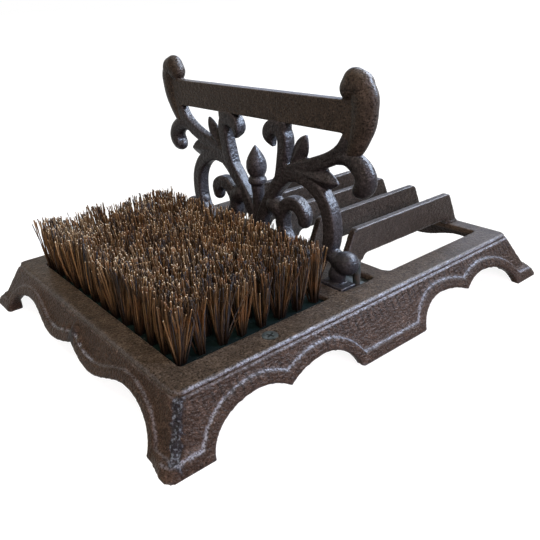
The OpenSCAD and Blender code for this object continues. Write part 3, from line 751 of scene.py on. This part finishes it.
def scrolls():
    stock = Stock()
    # Stem and diagonal arm
    strand(stock, [[2, 20, 4.5, 0.9], [8, 34, 5, 0.95], [16, 47, 5.2, 1], [26, 60, 5.6, 1], [38, 71, 6, 0.95],
                   [52, 78, 5.5, 0.85], [68, 84, 5.2, 0.8], [84, 90.5, 5.2, 0.8], [95, 98, 5.2, 0.82],
                   [101.5, 107, 5.2, 0.82]])
    # Hook
    strand(stock, [[88, 91, 4.4, 0.75], [97, 93.2, 5.8, 0.95], [105, 91.6, 7, 1.15], [112, 86.8, 7.8, 1.3],
                   [114.8, 80.5, 8.1, 1.4], [112.5, 75.6, 7.8, 1.4], [108.4, 73.6, 6, 1.2],
                   [105, 74.2, 2.4, 0.6]], ROUND_BAR)
    # Spiral leg, with swellings at the end of its curl and beside the stem
    strand(stock, [[40, 70.5, 4.6, 0.85], [52, 72.5, 5.2, 0.95], [64, 69.5, 5.5, 1], [74.5, 62.5, 5.7, 1.05],
                   [81.5, 52, 5.8, 1.1], [84, 40, 5.8, 1.1], [83, 28, 5.6, 1.1], [78, 18, 5.4, 1.05],
                   [69, 11.5, 5.2, 1], [57, 9, 5, 1], [45, 11, 5, 1], [35.5, 18, 5, 1], [30.5, 28, 5, 1],
                   [31, 39.5, 5.2, 1], [37.5, 47.5, 5.4, 1], [46, 49.5, 5.5, 1], [53, 46, 5.4, 1],
                   [55.3, 41, 5.2, 0.95]])
    drop(stock, (55.6, 41.5, 5.9, 5.4), (55, 37.8, 5.6, 5.2))
    drop(stock, (21.5, 44.2, 8, 7), (27, 41.5, 7.6, 7))
    # Ball foot and its neck
    strand(stock, [[78, 28, 3.6, 0.7], [85, 19.7, 6, 1.15], [91, 16.4, 7, 1.4], [96, 16.2, 7.4, 1.5]],
           ROUND_BAR)
    drop(stock, (97, 16.2, 8.6, 8.6), (98.5, 16.2, 8.6, 8.6), 3)
    # Upper curl and its shoulder under the blade
    strand(stock, [[27.5, 59, 4.6, 1], [32, 70, 5, 1.05], [34.5, 80, 5, 1.05], [36.5, 90, 5, 1.05],
                   [37, 98, 5.3, 1.05], [33, 104.5, 5.6, 1.05], [26, 105.3, 5.8, 1.05],
                   [20.6, 101.5, 5.2, 1.05], [20.2, 96.5, 4, 0.95], [23.3, 90.5, 1, 0.4]])
    strand(stock, [[23.5, 107.6, 3.6, 0.85], [40, 107.6, 3.6, 0.85]])
    # Upper and outer leaves
    strand(stock, [[42, 75, 2.4, 0.7], [48, 84, 5.6, 0.85], [53.5, 91.5, 7.4, 0.9], [57, 98, 5.4, 0.75],
                   [59.5, 103, 1, 0.3]], RIDGED)
    strand(stock, [[50, 76.5, 2.5, 0.8], [60, 75.8, 6, 1], [71, 75, 8.2, 1.15], [80.5, 74.2, 7, 1.1],
                   [86.5, 73.6, 4, 0.7], [90, 73.4, 0.8, 0.2]], RIDGED)
    # Bud on its band, as [radius, up]
    bud = [(0.2, 18), (3.5, 22), (5.5, 56), (7.2, 57.2), (7.8, 59), (7.2, 61.2), (5.8, 63), (7.6, 66),
           (8.5, 70), (8, 75), (6.4, 79), (4.2, 82.6), (2, 85.8), (0.3, 88)]
    stock.tube([[((UPRIGHT_X + r * math.cos(j * math.pi / 10)) * MM, r * math.sin(j * math.pi / 10) * MM,
                  (TOP_FACE + w) * MM) for j in range(20)] for r, w in bud])
    # Tenons in the slots, each with a swelling up to its ball foot
    for side in (1, -1):
        y0, y1 = sorted(side * y * MM for y in TENON_Y)
        stock.box((TENON_X[0] * MM, y0, (TOP_FACE + TENON_UP[0]) * MM),
                  (TENON_X[1] * MM, y1, (TOP_FACE + TENON_UP[1]) * MM))
        stock.ball((-4 * MM, side * 91 * MM, (TOP_FACE + 6) * MM), (6 * MM, 7 * MM, 8 * MM))
    return stock


def foot_share(spot):
    """1 on the ball feet and 0 on the rest of the upright."""
    return unit((abs(spot.y) - 80 * MM) / (8 * MM)) * unit((70 * MM - spot.z) / (6 * MM))


def upright():
    """The one casting as two pieces, because its blade and its scrolls have finishes of their own: the
    scrolls' is a darker, bluer copy of the iron, as painted shade and a painted bluish sheen.
    """
    for name, stock, voxel, finish in (("upright_blade", blade_and_posts(), BLADE_VOXEL, IRON),
                                       ("upright_scrolls", scrolls(), SCROLL_VOXEL, SHADED_SCROLL_IRON)):
        skin = fuse(name, stock, voxel, 1, 0.2)
        for v in skin.vertices:
            v.co.x -= LEAN * max(v.co.z - LEAN_FROM, 0)
        skin.update()
        # The ball feet are painted dark in the colour of the bare ridges, as painted shade
        note(skin, "ridge", [0.5 * foot_share(v.co) for v in skin.vertices])
        set_in(name, skin, "iron", ["scraper_upright"], finish)


# Brush, in mm

ROWS, TUFTS, FIBRES = 13, 8, 47
BRUSH_X = (-148.8, -27.2)
BRUSH_HALF = 104.8
BLOCK_TOP, SLICE, SLICE_GAP = 32.8, 2, 0.1
TIPS, TUFT_ROOT = 75.4, 4.8
# Room between the outer tufts and the ends of the brush
FIRST_IN, LAST_IN = 4.2, 6.0
BRUSH_LONG = BRUSH_X[1] - BRUSH_X[0]
COLUMN_WIDE, ROW_WIDE = BRUSH_LONG / TUFTS, 2 * BRUSH_HALF / ROWS
# Places along a fibre, from root to tip
FIBRE_STEPS = (0, 0.35, 0.7, 0.98, 1)
# Share of fibres that stray from their tuft, in the front row and elsewhere, and the spread of the others
STRAY_FRONT, STRAY_SHARE, TIGHT = 0.45, 0.26, 1.1
# Shares of fibres that are cut short and that are dark, and half the thickness of a fibre
SHORT_SHARE, DARK_SHARE, THICK = 0.28, 0.48, (0.36, 0.64)
# Loose strands that lie across the top, by row, as their two ends
LYING = {4: [((-137.2, -32.5, 75.4), (-125.0, -38.0, 76.6))],
         5: [((-150.3, -8.0, 75.8), (-151.8, -24.0, 76.8))]}


class Bristles(Stock):
    """Fibres, with a tone for each point and its place along the fibre."""

    def __init__(self):
        super().__init__()
        self.tones, self.rises = [], []

    def fibre(self, root, tip, sag, thick, tone, turn):
        rings = []
        for t in FIBRE_STEPS:
            bow = 4 * t * (1 - t)
            x = root[0] + (tip[0] - root[0]) * t ** 1.15 + sag[0] * bow
            y = root[1] + (tip[1] - root[1]) * t ** 1.15 + sag[1] * bow
            z = root[2] + (tip[2] - root[2]) * t
            half = thick * (1 - 0.15 * t)
            rings.append([((x + half * math.cos(turn + j * math.pi / 2)) * MM,
                           (y + half * math.sin(turn + j * math.pi / 2)) * MM, z * MM) for j in range(4)])
            self.tones += [tone] * 4
            self.rises += [t] * 4
        self.tube(rings)

    def slice(self, yc):
        """The strip of the block that a row stands on."""
        self.box((BRUSH_X[0] * MM, (yc - ROW_WIDE / 2 + SLICE_GAP) * MM, BLOCK_TOP * MM),
                 (BRUSH_X[1] * MM, (yc + ROW_WIDE / 2 - SLICE_GAP) * MM, (BLOCK_TOP + SLICE) * MM))
        self.tones += [0.0] * 8
        self.rises += [0.0] * 8


def tuft(hairs, draw, i, k, yc):
    """Tuft k of row i. Those of the first column lean inwards, stray less and have wider roots."""
    xc = BRUSH_X[0] + FIRST_IN + (BRUSH_LONG - FIRST_IN - LAST_IN) * k / (TUFTS - 1)
    if k == 0:
        full, stray = 1.5, 2.6
        lean_x = 2.4 + draw.gauss(0, 1.3)
    else:
        full, stray = 1.0, 4.0
        lean_x = ((xc - sum(BRUSH_X) / 2) / (BRUSH_LONG / 2)) ** 3 * 3 + draw.gauss(0, 2.4)
    lean_y = (yc / BRUSH_HALF) ** 5 * 3.0 + draw.gauss(0, 2.2)
    cut_at = TIPS + draw.gauss(0, 0.7)
    stray_share = STRAY_SHARE if i else STRAY_FRONT
    # Dark fibres at random, and painted shade: the two front rows get more of them towards the right
    dark_and_shaded_share = DARK_SHARE + (0.1 + 0.035 * k if i < 2 else 0)
    for _ in range(FIBRES):
        cx, cy = draw.uniform(-0.5, 0.5), draw.uniform(-0.5, 0.5)
        root = (xc + cx * TUFT_ROOT, yc + cy * TUFT_ROOT * full, BLOCK_TOP + 0.5)
        loose = stray if draw.random() < stray_share else TIGHT
        tip = (xc + cx * COLUMN_WIDE + lean_x + draw.gauss(0, loose),
               yc + cy * ROW_WIDE + lean_y + draw.gauss(0, loose),
               cut_at + draw.gauss(0, 1.0) - (draw.uniform(2, 11) if draw.random() < SHORT_SHARE else 0))
        sag = (draw.gauss(0, 1.1), draw.gauss(0, 1.1))
        tone = draw.gauss(0.16, 0.1) if draw.random() < dark_and_shaded_share else draw.gauss(0.64, 0.2)
        hairs.fibre(root, tip, sag, draw.uniform(*THICK), unit(tone), draw.uniform(0, 1.5))


def brush():
    for i in range(ROWS):
        draw = random.Random(700 + i)
        hairs = Bristles()
        yc = -BRUSH_HALF + ROW_WIDE * (i + 0.5)
        for k in range(TUFTS):
            tuft(hairs, draw, i, k, yc)
        for root, tip in LYING.get(i, ()):
            hairs.fibre(root, tip, sag=(0.6, 0.6), thick=0.5, tone=0.9, turn=0.4)
        fibre_faces = len(hairs.faces)
        hairs.slice(yc)
        name = f"bristles_{i + 1:02d}"
        mesh = bpy.data.meshes.new(name)
        mesh.from_pydata(hairs.points, [], hairs.faces)
        note(mesh, "fibre_tone", hairs.tones)
        note(mesh, "fibre_rise", hairs.rises)
        set_in(name, mesh, "coir", [f"bristle_row_{i + 1:02d}"], COIR, GREEN)
        slice_faces = len(hairs.faces) - fibre_faces
        mesh.polygons.foreach_set("material_index", [0] * fibre_faces + [1] * slice_faces)
        for face in mesh.polygons[fibre_faces:]:
            face.use_smooth = False


def plain_nodes():
    """CAD pieces that keep their own shape and take a finish."""
    for node, finish in (("brush_block", GREEN), ("brush_screws", STEEL), ("upright_bolts", STEEL),
                         ("clamp_plates", STEEL), ("spring_washers", STEEL)):
        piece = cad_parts[node]
        piece.data.materials.clear()
        piece.data.materials.append(finish)


skirts()
flat_top()
bars()
upright()
brush()
plain_nodes()


# Stage, light and camera

FLOOR_HALF = 40


def seen_straight(start):
    """1 for rays that show the surroundings as a white studio: the camera's, and those in metal and glass."""
    straight, glossy, clear = [start.node("ShaderNodeLightPath", out=f"Is {ray} Ray")
                               for ray in ("Camera", "Glossy", "Transmission")]
    return start.math("MAXIMUM", start.math("MAXIMUM", straight, glossy), clear)


def floor():
    mesh = bpy.data.meshes.new("floor")
    mesh.from_pydata([(-FLOOR_HALF, -FLOOR_HALF, 0), (FLOOR_HALF, -FLOOR_HALF, 0),
                      (FLOOR_HALF, FLOOR_HALF, 0), (-FLOOR_HALF, FLOOR_HALF, 0)], [], [[0, 1, 2, 3]])
    ground = bpy.data.objects.new("floor", mesh)
    bpy.context.scene.collection.objects.link(ground)
    material, start = new_finish("pale_floor")
    mesh.materials.append(material)
    pale = start.node("ShaderNodeBsdfDiffuse", {}, {"Color": colour(0.2, 0.2, 0.2)})
    away = start.node("ShaderNodeVectorMath", {"operation": "LENGTH"}, {0: start.place()}, out="Value")
    white = away.over(0.35, 1.1).between(colour(0.9, 0.9, 0.9), colour(1, 1, 1))
    glow = start.node("ShaderNodeEmission", {}, {"Color": white, "Strength": 1.0})
    both = start.node("ShaderNodeAddShader", {}, {0: pale, 1: glow})
    mixed = start.node("ShaderNodeMixShader", {}, {0: seen_straight(start), 1: pale, 2: both})
    start.node("ShaderNodeOutputMaterial", {}, {"Surface": mixed})


def sky():
    world = bpy.data.worlds.new("studio")
    bpy.context.scene.world = world
    world.use_nodes = True
    world.node_tree.nodes.clear()
    start = Tone(world.node_tree)
    soft = start.node("ShaderNodeBackground", {}, {"Color": colour(1, 1, 1), "Strength": 0.13})
    white = start.node("ShaderNodeBackground", {}, {"Color": colour(1, 1, 1), "Strength": 1.0})
    mixed = start.node("ShaderNodeMixShader", {}, {0: seen_straight(start), 1: soft, 2: white})
    start.node("ShaderNodeOutputWorld", {}, {"Surface": mixed})


def lamp(name, place, target, sizes, power, tint, sheen_only=False, cone=None):
    """A soft panel, or a spot with a cone in degrees. One that is sheen only adds no diffuse light."""
    light = bpy.data.lights.new(name, "SPOT" if cone else "AREA")
    if cone:
        light.spot_size, light.spot_blend, light.shadow_soft_size = math.radians(cone), 0.6, sizes[0]
    else:
        light.shape = "RECTANGLE"
        light.size, light.size_y = sizes
    light.energy = power
    light.color = tint
    holder = bpy.data.objects.new(name, light)
    bpy.context.scene.collection.objects.link(holder)
    holder.visible_diffuse = not sheen_only
    holder.location = place
    holder.rotation_euler = (Vector(target) - Vector(place)).to_track_quat("-Z", "Y").to_euler()


def camera():
    """The view of the photo."""
    lens = bpy.data.cameras.new("camera")
    lens.sensor_width = 36
    lens.lens = 39.735
    lens.shift_x = 0.02507
    lens.shift_y = 0.00209
    lens.clip_start = 0.01
    lens.clip_end = 200
    holder = bpy.data.objects.new("camera", lens)
    bpy.context.scene.collection.objects.link(holder)
    holder.matrix_world = Matrix(((0.77703, 0.30142, -0.55261, -0.28933),
                                  (-0.62714, 0.29534, -0.72074, -0.36679),
                                  (-0.05404, 0.90660, 0.41852, 0.23150),
                                  (0, 0, 0, 1)))
    bpy.context.scene.camera = holder


floor()
sky()
lamp("window", (1.5, -0.4, 1.8), (0, 0, 0.05), (0.8, 0.8), 49, (0.72, 0.83, 1.0))
lamp("sky_panel", (1.11, -0.40, 1.27), (0, 0, 0.05), (1.9, 0.95), 300, (0.72, 0.82, 1.0), sheen_only=True)
lamp("side_panel", (0.96, -1.14, 1.08), (0, 0, 0.08), (0.9, 0.5), 100, (0.62, 0.76, 1.0), sheen_only=True)
lamp("upper_window", (0.94, -1.12, 1.0), (0, -0.02, 0.16), (0.12, 0.12), 900, (0.56, 0.72, 1.0), cone=8.8)
lamp("back_panel", (1.5, 1.15, 0.65), (0, 0, 0.04), (1.4, 0.5), 5, (0.35, 0.55, 1.0), sheen_only=True)
lamp("front", (-0.3, -0.9, 0.48), (0, 0, 0.03), (0.5, 0.3), 12.5, (1.0, 0.83, 0.92))
lamp("ceiling", (-0.5, -0.1, 1.5), (0, 0, 0.05), (0.8, 0.8), 22, (1.0, 0.90, 0.68))
lamp("room", (-1.3, -0.6, 0.8), (0, 0, 0.05), (0.8, 0.8), 4.5, (1.0, 0.74, 0.40))
camera()
bpy.context.scene.view_settings.view_transform = "Standard"
